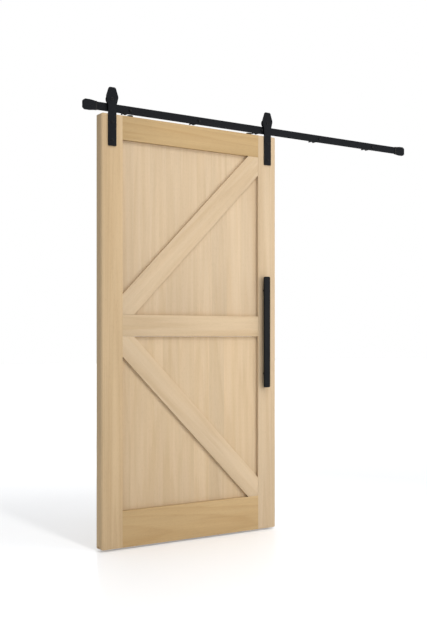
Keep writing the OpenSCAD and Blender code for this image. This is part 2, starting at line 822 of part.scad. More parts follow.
module pull_bolts() {
    color(BLACK_STEEL) at_posts() {
        along_y(post_bolt_r, door_y - post_bolt_bite, door_back_y);
        translate([0, door_back_y, 0]) mirror([0, 1, 0])
            domed_head(post_bolt_head_r, post_bolt_head_h);
    }
}

track_rail();
wall_spacers();
wall_screws();
end_stop("left");  // left_end_stop
end_stop("right");  // right_end_stop
end_stop_grub_screws();
stop_bumper("left");  // left_stop_bumper
stop_bumper("right");  // right_stop_bumper
left_stile();
right_stile();
top_rail();
middle_rail();
bottom_rail();
panel(upper_bay_z, upper_bay_h);  // upper_panel
panel(lower_bay_z, lower_bay_h);  // lower_panel
brace(upper_bay_z, upper_bay_h, true, brace_inset);  // upper_front_brace
brace(lower_bay_z, lower_bay_h, false, brace_inset);  // lower_front_brace
brace(upper_bay_z, upper_bay_h, true, panel_y + panel_t);  // upper_back_brace
brace(lower_bay_z, lower_bay_h, false, panel_y + panel_t);  // lower_back_brace
hanger_strap(hanger_xs[0]);  // left_hanger_strap
hanger_strap(hanger_xs[1]);  // right_hanger_strap
hanger_bolts();
hanger_sleeve_nuts();
axle_bolts();
axle_spacers();
bearing_inner_rings();
axle_washers();
axle_nuts();
anti_jump_discs();
anti_jump_screws();
pull_bar();
pull_posts();
pull_bolts();
wheel(hanger_xs[0]);  // left_wheel
bearing_outer_ring(hanger_xs[0]);  // left_bearing_outer_ring
bearing_seals(hanger_xs[0]);  // left_bearing_seals
wheel(hanger_xs[1]);  // right_wheel
bearing_outer_ring(hanger_xs[1]);  // right_bearing_outer_ring
bearing_seals(hanger_xs[1]);  // right_bearing_seals
bearing_cage(hanger_xs[0]);  // left_bearing_cage
bearing_balls(hanger_xs[0]);  // left_bearing_balls
bearing_cage(hanger_xs[1]);  // right_bearing_cage
bearing_balls(hanger_xs[1]);  // right_bearing_balls
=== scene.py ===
"""A sliding barn door, finished: a K-braced timber leaf that hangs on a black steel track.

Metres, +Z up, the wall behind the door towards +Y. Boards and steelwork are modelled here at the
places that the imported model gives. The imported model's small inner pieces keep their shape, and
only get their finish here.
"""

import math

import bmesh
import bpy
from mathutils import Matrix, Vector


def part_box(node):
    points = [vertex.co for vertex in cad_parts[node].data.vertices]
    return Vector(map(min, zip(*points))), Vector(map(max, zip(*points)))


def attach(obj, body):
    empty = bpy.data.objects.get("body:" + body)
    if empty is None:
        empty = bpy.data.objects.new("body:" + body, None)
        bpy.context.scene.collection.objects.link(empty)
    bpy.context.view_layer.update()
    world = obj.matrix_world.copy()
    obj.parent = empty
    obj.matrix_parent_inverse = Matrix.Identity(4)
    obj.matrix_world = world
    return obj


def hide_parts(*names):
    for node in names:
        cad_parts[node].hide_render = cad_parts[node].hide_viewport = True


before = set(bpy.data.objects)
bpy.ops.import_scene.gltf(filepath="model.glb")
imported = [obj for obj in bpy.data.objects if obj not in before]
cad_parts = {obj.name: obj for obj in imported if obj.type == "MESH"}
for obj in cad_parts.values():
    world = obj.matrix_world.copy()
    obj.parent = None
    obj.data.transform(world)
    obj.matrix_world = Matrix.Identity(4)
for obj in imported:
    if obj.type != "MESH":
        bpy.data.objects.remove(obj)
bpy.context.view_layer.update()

MM = 0.001
EDGE_TOLERANCE = 0.02 * MM
WELD = 0.002 * MM                  # points of a turned piece that are this close become one
OVERCUT = 2 * MM                   # how far a cutter stands past the face it opens
SHARP_TURN = math.radians(40)      # an edge between faces that turn more than this is sharp
PARALLEL = 0.999                   # share of its length by which an edge runs along an axis


# ---------- handling pieces ----------

def let_go():
    """Object mode, with nothing selected."""
    if bpy.context.mode != "OBJECT":
        bpy.ops.object.mode_set(mode="OBJECT")
    bpy.ops.object.select_all(action="DESELECT")


def hold(*pieces):
    """Only these pieces are selected, and the first is the active one."""
    let_go()
    for piece in pieces:
        piece.select_set(True)
    bpy.context.view_layer.objects.active = pieces[0]


def set_down(piece):
    """Puts the piece's place, turn and size into its mesh."""
    hold(piece)
    bpy.ops.object.transform_apply(location=True, rotation=True, scale=True)
    return piece


def open_up(piece, kind):
    """Edit mode with nothing selected. kind is VERT, EDGE or FACE."""
    hold(piece)
    bpy.ops.object.mode_set(mode="EDIT")
    bpy.ops.mesh.select_mode(type=kind)
    bpy.ops.mesh.select_all(action="DESELECT")
    return bmesh.from_edit_mesh(piece.data)


def pick(piece, kind, test):
    """Edit mode with just the edges or faces that pass the test selected."""
    shape = open_up(piece, kind)
    for part in list(shape.edges if kind == "EDGE" else shape.faces):
        if test(part):
            part.select_set(True)
    bmesh.update_edit_mesh(piece.data)


def is_sharp(edge):
    return len(edge.link_faces) == 2 and edge.calc_face_angle() > SHARP_TURN


def runs_along(edge, axis):
    """True if the edge lies along the axis, 0 for X, 1 for Y and 2 for Z."""
    span = edge.verts[1].co - edge.verts[0].co
    return abs(span[axis]) > PARALLEL * span.length


def ends_at(part, axis, value):
    """True if all of an edge or face lies at that value of the axis."""
    return all(abs(v.co[axis] - value) < EDGE_TOLERANCE for v in part.verts)


def ease(piece, width, segments=2, test=is_sharp):
    """Rounds the edges that pass the test."""
    pick(piece, "EDGE", test)
    bpy.ops.mesh.bevel(offset=width, segments=segments, affect="EDGES")
    let_go()
    return piece


def cut(piece, *cutters):
    """Takes each cutter's shape out of the piece."""
    for cutter in cutters:
        hold(piece)
        bpy.ops.object.modifier_add(type="BOOLEAN")
        bite = piece.modifiers[-1]
        bite.operation, bite.solver, bite.object = "DIFFERENCE", "EXACT", cutter
        bpy.ops.object.modifier_apply(modifier=bite.name)
        bpy.data.objects.remove(cutter)
    return piece


def copy_of(piece, name, shift=(0, 0, 0), mirrored_at=None):
    """A copy with its own mesh, moved, or mirrored across the plane x = mirrored_at."""
    hold(piece)
    bpy.ops.object.duplicate()
    twin = bpy.context.object
    twin.name = twin.data.name = name
    if mirrored_at is not None:
        bpy.ops.transform.mirror(constraint_axis=(True, False, False),
                                 center_override=(mirrored_at, 0, 0))
    bpy.ops.transform.translate(value=shift)
    set_down(twin)
    if mirrored_at is not None:
        open_up(twin, "FACE")
        bpy.ops.mesh.select_all(action="SELECT")
        bpy.ops.mesh.normals_make_consistent(inside=False)
        let_go()
    return twin


def gather(name, pieces):
    """Joins pieces that are one kind of part into one."""
    hold(*pieces)
    if len(pieces) > 1:
        bpy.ops.object.join()
    bpy.context.object.name = bpy.context.object.data.name = name
    return bpy.context.object


def repeated(name, piece, shifts):
    """A piece and its copies at the shifts, joined into one."""
    return gather(name, [piece] + [copy_of(piece, piece.name, shift) for shift in shifts])


# ---------- first shapes ----------

def block(name, low, high):
    """A squared block from its low corner to its high corner."""
    low, high = Vector(low), Vector(high)
    let_go()
    bpy.ops.mesh.primitive_cube_add(size=1, location=(low + high) / 2)
    piece = bpy.context.object
    piece.name = piece.data.name = name
    piece.scale = high - low
    return set_down(piece)


def drill(x, z, radius, y0, y1, sides=32):
    """A cutter for a round hole along Y."""
    let_go()
    bpy.ops.mesh.primitive_cylinder_add(vertices=sides, radius=radius, depth=y1 - y0,
                                        location=(x, (y0 + y1) / 2, z),
                                        rotation=(math.pi / 2, 0, 0))
    return set_down(bpy.context.object)


def drill_down(x, y, radius, z0, z1, sides=32):
    """A cutter for a round hole along Z."""
    let_go()
    bpy.ops.mesh.primitive_cylinder_add(vertices=sides, radius=radius, depth=z1 - z0,
                                        location=(x, y, (z0 + z1) / 2))
    return set_down(bpy.context.object)


def hexagon(name, x, z, across, y0, y1):
    """A hexagon bar along Y, across its flats."""
    piece = drill(x, z, across / math.sqrt(3), y0, y1, sides=6)
    piece.name = piece.data.name = name
    return piece


def turned(name, centre, profile, axis="Y", steps=48, ring=False):
    """A turned piece: profile points (radius, distance along the axis) spun about the centre line.

    A ring's profile closes on itself. Any other one starts and ends on the axis."""
    centre = Vector(centre)
    run = Vector((0, 1, 0)) if axis == "Y" else Vector((0, 0, 1))
    walk = [Vector((radius, 0, 0)) + run * along for radius, along in profile]
    if ring:
        walk.append(walk[0])
    let_go()
    bpy.ops.mesh.primitive_plane_add(size=MM, location=centre + walk[0])
    piece = set_down(bpy.context.object)
    piece.name = piece.data.name = name
    open_up(piece, "VERT")
    bpy.ops.mesh.select_all(action="SELECT")
    bpy.ops.mesh.merge(type="CENTER")
    for here, there in zip(walk, walk[1:]):
        bpy.ops.mesh.extrude_vertices_move(TRANSFORM_OT_translate={"value": there - here})
    bpy.ops.mesh.select_all(action="SELECT")
    bpy.ops.mesh.spin(steps=steps, angle=2 * math.pi, center=centre, axis=run)
    bpy.ops.mesh.select_all(action="SELECT")
    bpy.ops.mesh.remove_doubles(threshold=WELD)
    bpy.ops.mesh.select_all(action="SELECT")
    bpy.ops.mesh.normals_make_consistent(inside=False)
    let_go()
    return piece


def dome(radius, height, base, steps=5):
    """Profile of a domed head, (radius, distance outward), from its rim at base to its top."""
    rise = height - base
    ball = (radius * radius + rise * rise) / (2 * rise)
    widest = math.asin(radius / ball)
    turns = [widest * (1 - k / steps) for k in range(steps + 1)]
    return [(ball * math.sin(t), height - ball + ball * math.cos(t)) for t in turns]


# ---------- finishes ----------

class Finish:
    """A material being wired: each call adds a node and gives back its first output."""

    def __init__(self, name):
        self.material = bpy.data.materials.new(name)
        self.material.use_nodes = True
        self.tree = self.material.node_tree
        self.shader = self.tree.nodes["Principled BSDF"]

    def node(self, kind, inputs=None, output=0, **settings):
        made = self.tree.nodes.new("ShaderNode" + kind)
        for key, value in settings.items():
            setattr(made, key, value)
        for key, value in (inputs or {}).items():
            self.feed(made.inputs[key], value)
        return made.outputs[output]

    def feed(self, socket, value):
        if isinstance(value, bpy.types.NodeSocket):
            self.tree.links.new(value, socket)
        else:
            socket.default_value = value

    def math(self, operation, a, b=0.0, c=0.0):
        return self.node("Math", {0: a, 1: b, 2: c}, operation=operation)

    def scaled(self, vector, factors):
        return self.node("VectorMath", {0: vector, 1: factors}, operation="MULTIPLY")

    def moved(self, vector, shift):
        return self.node("VectorMath", {0: vector, 1: shift}, operation="ADD")

    def noise(self, vector, scale=1.0, detail=2.0, roughness=0.5):
        return self.node("TexNoise", {"Vector": vector, "Scale": scale, "Detail": detail,
                                      "Roughness": roughness})

    def grain(self, place, along, across, detail=2.0, roughness=0.5):
        """Noise drawn out along X. along and across are its waves per metre."""
        return self.noise(self.scaled(place, (along, across, across)), detail=detail,
                          roughness=roughness)

    def ramp(self, value, stops, smooth=False):
        made = self.tree.nodes.new("ShaderNodeValToRGB")
        band = made.color_ramp
        if smooth:
            band.interpolation = "EASE"
        while len(band.elements) < len(stops):
            band.elements.new(0.5)
        for element, (place, shade) in zip(band.elements, stops):
            element.position = place
            element.color = (shade, shade, shade, 1) if isinstance(shade, float) else (*shade, 1)
        self.feed(made.inputs["Fac"], value)
        return made.outputs["Color"]

    def blend(self, amount, first, second, mode="MIX"):
        made = self.tree.nodes.new("ShaderNodeMix")
        made.data_type, made.blend_type = "RGBA", mode
        self.feed(made.inputs["Factor"], amount)
        for socket, value in ((made.inputs[6], first), (made.inputs[7], second)):
            self.feed(socket, (*value, 1) if isinstance(value, tuple) else value)
        return made.outputs[2]

    def times(self, colour, factor):
        return self.blend(1.0, colour, factor, "MULTIPLY")

    def between(self, value, low, high):
        """Takes 0 to 1 onto low to high."""
        return self.node("MapRange", {"Value": value, "To Min": low, "To Max": high})

    def bump(self, height, strength, distance):
        normal = self.node("Bump", {"Height": height, "Strength": strength,
                                    "Distance": distance})
        self.feed(self.shader.inputs["Normal"], normal)

    def object_place(self):
        return self.node("TexCoord", output="Object")


EARLY_WOOD = (0.540, 0.422, 0.292)
LATE_WOOD = (0.425, 0.300, 0.178)
STREAK_WOOD = (0.460, 0.335, 0.205)
RING_W = 9 * MM
RING_WANDER, RING_SWAY = 5 * MM, 8 * MM            # how far the pith strays in depth and aside
RING_RIPPLE = 0.30                                 # and how far a ring strays, in rings
# A ring over one year: (share of the year, how much of it is late wood)
RING_COURSE = [(0.0, 0.15), (0.12, 0.0), (0.62, 0.35), (0.90, 1.0), (1.0, 0.15)]
LATE_LEAST, LATE_MOST = 0.05, 0.50
FIBRE_TONE, BAND_TONE, CLOUD_TONE = (0.95, 1.05), (0.955, 1.045), (0.89, 1.10)
ELSEWHERE = (31, 7, 5)                             # parts two noises that would look alike
WARM_RED, WARM_BLUE = 0.12, 0.26                   # what one of warmth adds and takes away
# What chance does to a stave: its shift aside as a share of its width, the others in metres
STAVE_ASIDE, STAVE_DEPTH, STAVE_ALONG = 0.6, 45 * MM, 7.0
STAVE_TONE = (0.97, 1.03)
TIMBER_DULL, TIMBER_SLEEK, TIMBER_SPECULAR = 0.68, 0.60, 0.18


def timber(name, centre, slope, tree, shade=1.0, warmth=0.0, stave=0.0, contrast=1.0):
    """Planed pale timber, cut from a tree whose pith runs behind the board's face.

    slope is the grain's angle above level. tree says where the board was in the tree: its place
    along it, its depth in front of the pith, its shift to the side and the taper per metre.
    stave is the width of the staves that a panel is glued from, or 0 for one board."""
    finish = Finish(name)
    turn = Matrix.Rotation(slope, 3, "Y")
    along, depth, aside, taper = tree
    start = Vector((along, depth, aside)) - turn @ Vector(centre)
    board = finish.node("Mapping", {"Vector": finish.object_place(), "Location": start,
                                    "Rotation": (0, slope, 0)})
    split = finish.node("SeparateXYZ", {0: board}, output="X")
    u, y, v = (split.node.outputs[k] for k in "XYZ")
    tone = None
    if stave:
        lane = finish.math("DIVIDE", v, stave)
        number = finish.math("FLOOR", lane)
        luck = finish.node("TexWhiteNoise", {"W": number}, output="Color",
                           noise_dimensions="1D")
        chance = finish.node("SeparateColor", {0: luck}).node.outputs
        across = finish.math("SUBTRACT", finish.math("FRACT", lane), 0.5)
        across = finish.math("MULTIPLY", across, stave)
        v = finish.math("ADD", across, finish.between(chance[0], -STAVE_ASIDE * stave,
                                                      STAVE_ASIDE * stave))
        y = finish.math("ADD", y, finish.between(chance[1], 0.0, STAVE_DEPTH))
        u = finish.math("ADD", u, finish.math("MULTIPLY", chance[2], STAVE_ALONG))
        tone = finish.between(chance[2], *STAVE_TONE)
    place = finish.node("CombineXYZ", {0: u, 1: y, 2: v})

    wander = finish.grain(place, 0.4, 3.0, detail=1.0)
    lean = finish.math("MULTIPLY", u, taper)
    far = finish.math("ADD", finish.math("ADD", y, lean),
                      finish.between(wander, -RING_WANDER, RING_WANDER))
    sway = finish.noise(finish.moved(finish.scaled(place, (0.45, 2.5, 2.5)), ELSEWHERE),
                        detail=1.0)
    side = finish.math("ADD", v, finish.between(sway, -RING_SWAY, RING_SWAY))
    pith = finish.node("CombineXYZ", {0: 0.0, 1: far, 2: side})
    radius = finish.node("VectorMath", {0: pith}, output="Value", operation="LENGTH")
    ripple = finish.grain(place, 1.6, 60.0)
    count = finish.math("ADD", finish.math("DIVIDE", radius, RING_W),
                        finish.between(ripple, -RING_RIPPLE, RING_RIPPLE))
    late = finish.ramp(finish.math("FRACT", count), RING_COURSE, smooth=True)
    fade = finish.grain(place, 0.8, 9.0)
    late = finish.math("MULTIPLY", late, finish.between(fade, LATE_LEAST * contrast,
                                                        LATE_MOST * contrast))

    fibre = finish.grain(place, 4.0, 260.0, detail=3.0, roughness=0.6)
    streak = finish.grain(place, 0.9, 24.0, detail=3.0, roughness=0.6)
    band = finish.grain(place, 3.6, 58.0)
    cloud = finish.grain(place, 1.5, 7.0)
    pore = finish.grain(place, 45.0, 1500.0, detail=1.0)

    colour = finish.blend(late, EARLY_WOOD, LATE_WOOD)
    colour = finish.blend(finish.ramp(streak, [(0.40, 0.0), (0.72, 0.55)]), colour, STREAK_WOOD)
    for pattern, tones in ((fibre, FIBRE_TONE), (band, BAND_TONE), (cloud, CLOUD_TONE)):
        colour = finish.times(colour, finish.between(pattern, *tones))
    dots = finish.ramp(pore, [(0.30, 0.86), (0.40, 1.0)])
    colour = finish.times(colour, dots)
    if tone is not None:
        colour = finish.times(colour, tone)
    tint = (shade * (1 + WARM_RED * warmth), shade, shade * (1 - WARM_BLUE * warmth))
    finish.feed(finish.shader.inputs["Base Color"], finish.times(colour, tint))
    finish.feed(finish.shader.inputs["Roughness"],
                finish.between(late, TIMBER_DULL, TIMBER_SLEEK))
    finish.shader.inputs["Specular IOR Level"].default_value = TIMBER_SPECULAR
    height = finish.math("ADD", finish.math("MULTIPLY", fibre, 0.6),
                         finish.math("ADD", finish.math("MULTIPLY", dots, 0.5),
                                     finish.math("MULTIPLY", late, -0.4)))
    finish.bump(height, 0.35, 0.25 * MM)
    return finish.material


def powder_coat(name, dark, pale, smoothest, roughest, specular):
    """Black powder coat: a fine orange peel and a slightly uneven gloss."""
    finish = Finish(name)
    place = finish.object_place()
    peel = finish.noise(place, scale=900.0, detail=2.0)
    patch = finish.noise(place, scale=16.0, detail=3.0)
    colour = finish.blend(patch, dark, pale)
    finish.feed(finish.shader.inputs["Base Color"], colour)
    finish.feed(finish.shader.inputs["Roughness"], finish.between(patch, smoothest, roughest))
    finish.shader.inputs["Specular IOR Level"].default_value = specular
    finish.bump(peel, 0.3, 0.08 * MM)
    return finish.material


def bare_metal(name, colour, dull, roughness):
    """Bright metal with a fine turned grain and a little tarnish."""
    finish = Finish(name)
    place = finish.object_place()
    tarnish = finish.noise(place, scale=140.0, detail=3.0)
    grain = finish.noise(finish.scaled(place, (500.0, 4000.0, 500.0)), detail=1.0)
    finish.feed(finish.shader.inputs["Base Color"],
                finish.blend(finish.ramp(tarnish, [(0.45, 0.0), (0.75, 1.0)]), colour, dull))
    finish.feed(finish.shader.inputs["Roughness"],
                finish.between(tarnish, roughness, roughness + 0.15))
    finish.shader.inputs["Metallic"].default_value = 1.0
    finish.bump(grain, 0.15, 0.02 * MM)
    return finish.material


def soft_rubber(name):
    """Matt black rubber with a pale bloom and a fine grain."""
    finish = Finish(name)
    place = finish.object_place()
    bloom = finish.noise(place, scale=60.0, detail=3.0)
    grain = finish.noise(place, scale=1800.0, detail=2.0)
    finish.feed(finish.shader.inputs["Base Color"],
                finish.blend(bloom, (0.008, 0.008, 0.008), (0.018, 0.018, 0.017)))
    finish.feed(finish.shader.inputs["Roughness"], finish.between(grain, 0.70, 0.88))
    finish.shader.inputs["Specular IOR Level"].default_value = 0.25
    finish.bump(grain, 0.4, 0.05 * MM)
    return finish.material


BLACK = powder_coat("black_powder_coat", (0.0040, 0.0048, 0.0068), (0.0072, 0.0080, 0.0100),
                    0.54, 0.66, specular=0.11)
BLACK_OXIDE = powder_coat("black_oxide", (0.0060, 0.0060, 0.0068), (0.0110, 0.0110, 0.0118),
                          0.40, 0.52, specular=0.14)
BRIGHT = bare_metal("bearing_bright_steel", (0.62, 0.63, 0.65), (0.42, 0.42, 0.42), 0.22)
BRASS = bare_metal("cage_brass", (0.72, 0.52, 0.22), (0.45, 0.31, 0.13), 0.30)
RUBBER = soft_rubber("black_rubber")


def hand_over(piece, node, body, finish, angle=35):
    """The finished piece: shaded, on its body, and standing for its node."""
    set_down(piece)
    bpy.ops.object.shade_smooth_by_angle(angle=math.radians(angle))
    piece.data.materials.clear()
    piece.data.materials.append(finish)
    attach(piece, body)
    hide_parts(node)
    let_go()
    return piece


# ---------- camera, floor and light ----------

EYE = Vector((-3.0644, -4.1950, -1.1290))
GAZE = Vector((0.5534, 0.8329, 0.0))
LENS = 53.1
HORIZON_DROP = 0.0277              # share of the picture's height that the horizon lies low
FLOOR_GAP = 10 * MM                # the door hangs clear of the floor

bpy.ops.object.camera_add(location=EYE, rotation=GAZE.to_track_quat("-Z", "Y").to_euler())
camera = bpy.context.object
camera.data.lens, camera.data.sensor_width = LENS, 36.0
camera.data.shift_y = HORIZON_DROP
camera.data.clip_end = 200.0
bpy.context.scene.camera = camera

leaf_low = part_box("left_stile")[0]
leaf_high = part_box("right_stile")[1]
floor_z = leaf_low.z - FLOOR_GAP


FLOOR_W = 60
FLOOR_SHADES = ((0.880, 0.892, 0.914), (0.900, 0.912, 0.934))
FLOOR_ROUGHNESS, FLOOR_SPECULAR = 0.22, 0.06
# The floor's painted light: its glow, seen only directly, rises from near the door to far from it:
# (distance in metres, strength)
PAINTED_GLOW_NEAR, PAINTED_GLOW_FAR = (2.2, 0.14), (6.0, 0.52)
SKY_COLOUR = (0.98, 0.99, 1.0)
SKY_LEFT, SKY_RIGHT = 0.51, 0.86   # strength of the light that comes from -X and from +X
SOFT_BOX_COLOUR = (1.0, 0.985, 0.96)
# Place from the leaf's centre, width, height and power in watts: above, low front and behind
SOFT_BOXES = (((-0.5, -3.4, 4.4), 0.35, 2.2, 100),
              ((2.0, -2.6, 0.45), 2.2, 1.5, 45),
              ((0.8, 3.6, 0.9), 2.2, 1.5, 32))


def pale_floor():
    """A pale floor under the door, with painted light: it glows a little brighter far from it when
    seen directly.
    """
    bpy.ops.mesh.primitive_plane_add(size=FLOOR_W, location=(0, 0, floor_z))
    floor = bpy.context.object
    floor.name = "studio_floor"
    pale = Finish("pale_floor")
    mottle = pale.noise(pale.object_place(), scale=0.6, detail=2.0)
    pale.feed(pale.shader.inputs["Base Color"], pale.blend(mottle, *FLOOR_SHADES))
    pale.shader.inputs["Roughness"].default_value = FLOOR_ROUGHNESS
    pale.shader.inputs["Specular IOR Level"].default_value = FLOOR_SPECULAR
    away = pale.node("VectorMath", {0: pale.object_place()}, output="Value", operation="LENGTH")
    painted_glow = pale.node("MapRange", {"Value": away, "From Min": PAINTED_GLOW_NEAR[0],
                                  "From Max": PAINTED_GLOW_FAR[0], "To Min": PAINTED_GLOW_NEAR[1],
                                  "To Max": PAINTED_GLOW_FAR[1]})
    # painted light: the floor glows only where the camera sees it directly, more far from the door
    # than near it
    seen_directly = pale.node("LightPath", output="Is Camera Ray")
    pale.shader.inputs["Emission Color"].default_value = (1, 1, 1, 1)
    pale.feed(pale.shader.inputs["Emission Strength"], pale.math("MULTIPLY", painted_glow, seen_directly))
    floor.data.materials.append(pale.material)


def white_surroundings():
    """White where it is seen directly. The light it gives is weaker, and least from -X."""
    world = bpy.context.scene.world or bpy.data.worlds.new("studio")
    bpy.context.scene.world = world
    world.use_nodes = True
    tree = world.node_tree
    tree.nodes.clear()
    out, seen, lit, ray, mix, heading, split, swell = (
        tree.nodes.new("ShaderNode" + kind)
        for kind in ("OutputWorld", "Background", "Background", "LightPath", "MixShader",
                     "TexCoord", "SeparateXYZ", "MapRange"))
    seen.inputs["Color"].default_value = (1, 1, 1, 1)
    lit.inputs["Color"].default_value = (*SKY_COLOUR, 1)
    for name, value in (("From Min", -1.0), ("From Max", 1.0),
                        ("To Min", SKY_LEFT), ("To Max", SKY_RIGHT)):
        swell.inputs[name].default_value = value
    for source, target in ((heading.outputs["Generated"], split.inputs[0]),
                           (split.outputs["X"], swell.inputs["Value"]),
                           (swell.outputs[0], lit.inputs["Strength"]),
                           (ray.outputs["Is Camera Ray"], mix.inputs[0]),
                           (lit.outputs[0], mix.inputs[1]),
                           (seen.outputs[0], mix.inputs[2]),
                           (mix.outputs[0], out.inputs["Surface"])):
        tree.links.new(source, target)


def soft_boxes():
    """Three wide lights that face the leaf's centre."""
    aim = (leaf_low + leaf_high) / 2
    for place, wide, tall, watts in SOFT_BOXES:
        shift = Vector(place)
        bpy.ops.object.light_add(type="AREA", location=aim + shift,
                                 rotation=(-shift).to_track_quat("-Z", "Y").to_euler())
        soft_box = bpy.context.object.data
        soft_box.shape, soft_box.size, soft_box.size_y = "RECTANGLE", wide, tall
        soft_box.energy = watts
        soft_box.color = SOFT_BOX_COLOUR


pale_floor()
white_surroundings()
soft_boxes()
bpy.context.scene.view_settings.view_transform = "Standard"


# ---------- the leaf's frame ----------

left_stile, right_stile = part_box("left_stile"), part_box("right_stile")
top_box, middle_box, bottom_box = (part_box(n) for n in ("top_rail", "middle_rail", "bottom_rail"))
FRONT, BACK = leaf_low.y, leaf_high.y
LEAF_T = BACK - FRONT
MID_Y = (FRONT + BACK) / 2
BAY_LEFT, BAY_RIGHT = left_stile[1].x, right_stile[0].x
LOWER_BAY = (bottom_box[1].z, middle_box[0].z)
UPPER_BAY = (middle_box[1].z, top_box[0].z)

CORNER_ROUND = 12 * MM             # the leaf's outer upright edges and the short ones they meet
ARRIS = 0.6 * MM                   # edges where boards meet flush
TENON_T = 18 * MM
SHOULDER, HAUNCH = 17 * MM, 14 * MM
MORTISE_FIT = 0.1 * MM
GROOVE_DEPTH = 14 * MM
GROOVE_PAST = 1 * MM               # how far a rail's groove runs on past its shoulders
TONGUE_T, TONGUE_W = 14 * MM, 12 * MM
PANEL_FIT, PANEL_SHOULDER_FIT = 0.2 * MM, 0.5 * MM
GUIDE_GROOVE = (12 * MM, 15 * MM)  # width and depth of the floor guide's groove
HANGER_X = tuple((box[0].x + box[1].x) / 2 for box in (left_stile, right_stile))
to_right_hanger = (HANGER_X[1] - HANGER_X[0], 0, 0)
strap_low, strap_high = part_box("left_hanger_strap")
BOLT_Z = (strap_low.z + 28 * MM, strap_low.z + 116 * MM)
BOLT_HOLE_R = 4.2 * MM
SLEEVE_HOLE_R, SLEEVE_HOLE_L = 5.7 * MM, 28 * MM
posts_box, pull_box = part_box("pull_posts"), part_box("pull_bar")
PULL_X = (pull_box[0].x + pull_box[1].x) / 2
PULL_HOLE_R = 3.2 * MM
POST_R = 7 * MM
POST_Z = (posts_box[0].z + POST_R, posts_box[1].z - POST_R)

tenon_ends = {                     # lower and upper end of each rail's tenons, and their length
    "bottom": (bottom_box[0].z + SHOULDER + HAUNCH, bottom_box[1].z - SHOULDER,
               BAY_LEFT - bottom_box[0].x),
    "middle": (middle_box[0].z + SHOULDER, middle_box[1].z - SHOULDER,
               BAY_LEFT - middle_box[0].x),
    "top": (top_box[0].z + SHOULDER, top_box[1].z - SHOULDER - HAUNCH, BAY_LEFT - top_box[0].x),
}


def guide_cutter():
    """A cutter for the floor guide's groove, the whole way under the leaf."""
    width, depth = GUIDE_GROOVE
    return block("guide_groove", (leaf_low.x - OVERCUT, MID_Y - width / 2, leaf_low.z - OVERCUT),
                 (leaf_high.x + OVERCUT, MID_Y + width / 2, leaf_low.z + depth))


def panel_cutter(x0, x1, z0, z1):
    """A cutter for a groove that takes a panel's tongue."""
    half = TONGUE_T / 2 + PANEL_FIT
    return block("panel_groove", (x0, MID_Y - half, z0), (x1, MID_Y + half, z1))


def stile(name, box, outer, finish, node, pull_holes=()):
    """An upright of the frame, with its mortises, grooves and holes. outer is its outer x."""
    inner = box[1].x if outer < box[1].x - EDGE_TOLERANCE else box[0].x
    inward = 1 if outer < inner else -1
    board = block(name, *box)
    ease(board, CORNER_ROUND, 6, lambda e: ends_at(e, 0, outer))
    ease(board, ARRIS)

    def from_inner(depth):
        """The cutter's low and high x, for a cut that deep into the inner edge."""
        return sorted((inner - inward * depth, inner + inward * OVERCUT))

    for z0, z1, length in tenon_ends.values():
        x0, x1 = from_inner(length)
        cut(board, block("mortise", (x0, MID_Y - TENON_T / 2 - MORTISE_FIT, z0 - MORTISE_FIT),
                         (x1, MID_Y + TENON_T / 2 + MORTISE_FIT, z1 + MORTISE_FIT)))
    for z0, z1 in (LOWER_BAY, UPPER_BAY):
        x0, x1 = from_inner(GROOVE_DEPTH)
        cut(board, panel_cutter(x0, x1, z0 - GROOVE_DEPTH, z1 + GROOVE_DEPTH))
    x = (box[0].x + box[1].x) / 2
    for z in BOLT_Z:
        cut(board, drill(x, z, BOLT_HOLE_R, FRONT - OVERCUT, BACK + OVERCUT),
            drill(x, z, SLEEVE_HOLE_R, BACK - SLEEVE_HOLE_L, BACK + OVERCUT))
    for z in pull_holes:
        cut(board, drill(PULL_X, z, PULL_HOLE_R, FRONT - OVERCUT, BACK + OVERCUT))
    cut(board, guide_cutter())
    return hand_over(board, node, "door_leaf", finish)


def cross_rail(name, box, tenon, grooves, finish, node, cutters=()):
    """A rail between the stiles: its ends are drawn out into tenons, then its grooves are cut.

    tenon is the tenons' low z, high z and length. grooves are the low and high z of each."""
    board = block(name, (BAY_LEFT, FRONT, box[0].z), (BAY_RIGHT, BACK, box[1].z))
    ease(board, ARRIS)
    z0, z1, length = tenon
    middle, height = (box[0].z + box[1].z) / 2, box[1].z - box[0].z
    for end, outward in ((BAY_LEFT, -1), (BAY_RIGHT, 1)):
        pick(board, "FACE", lambda f: ends_at(f, 0, end))
        bpy.ops.mesh.extrude_region_move(TRANSFORM_OT_translate={"value": (0, 0, 0)})
        bpy.ops.transform.resize(value=(1, TENON_T / (LEAF_T - 2 * ARRIS),
                                        (z1 - z0) / (height - 2 * ARRIS)),
                                 center_override=(end, MID_Y, middle))
        bpy.ops.transform.translate(value=(0, 0, (z0 + z1) / 2 - middle))
        bpy.ops.mesh.extrude_region_move(
            TRANSFORM_OT_translate={"value": (outward * length, 0, 0)})
        let_go()
    for low, high in grooves:
        cut(board, panel_cutter(BAY_LEFT - GROOVE_PAST, BAY_RIGHT + GROOVE_PAST, low, high))
    cut(board, *cutters)
    return hand_over(board, node, "door_leaf", finish)


UPRIGHT = math.pi / 2


def centre_of(box):
    return (box[0] + box[1]) / 2


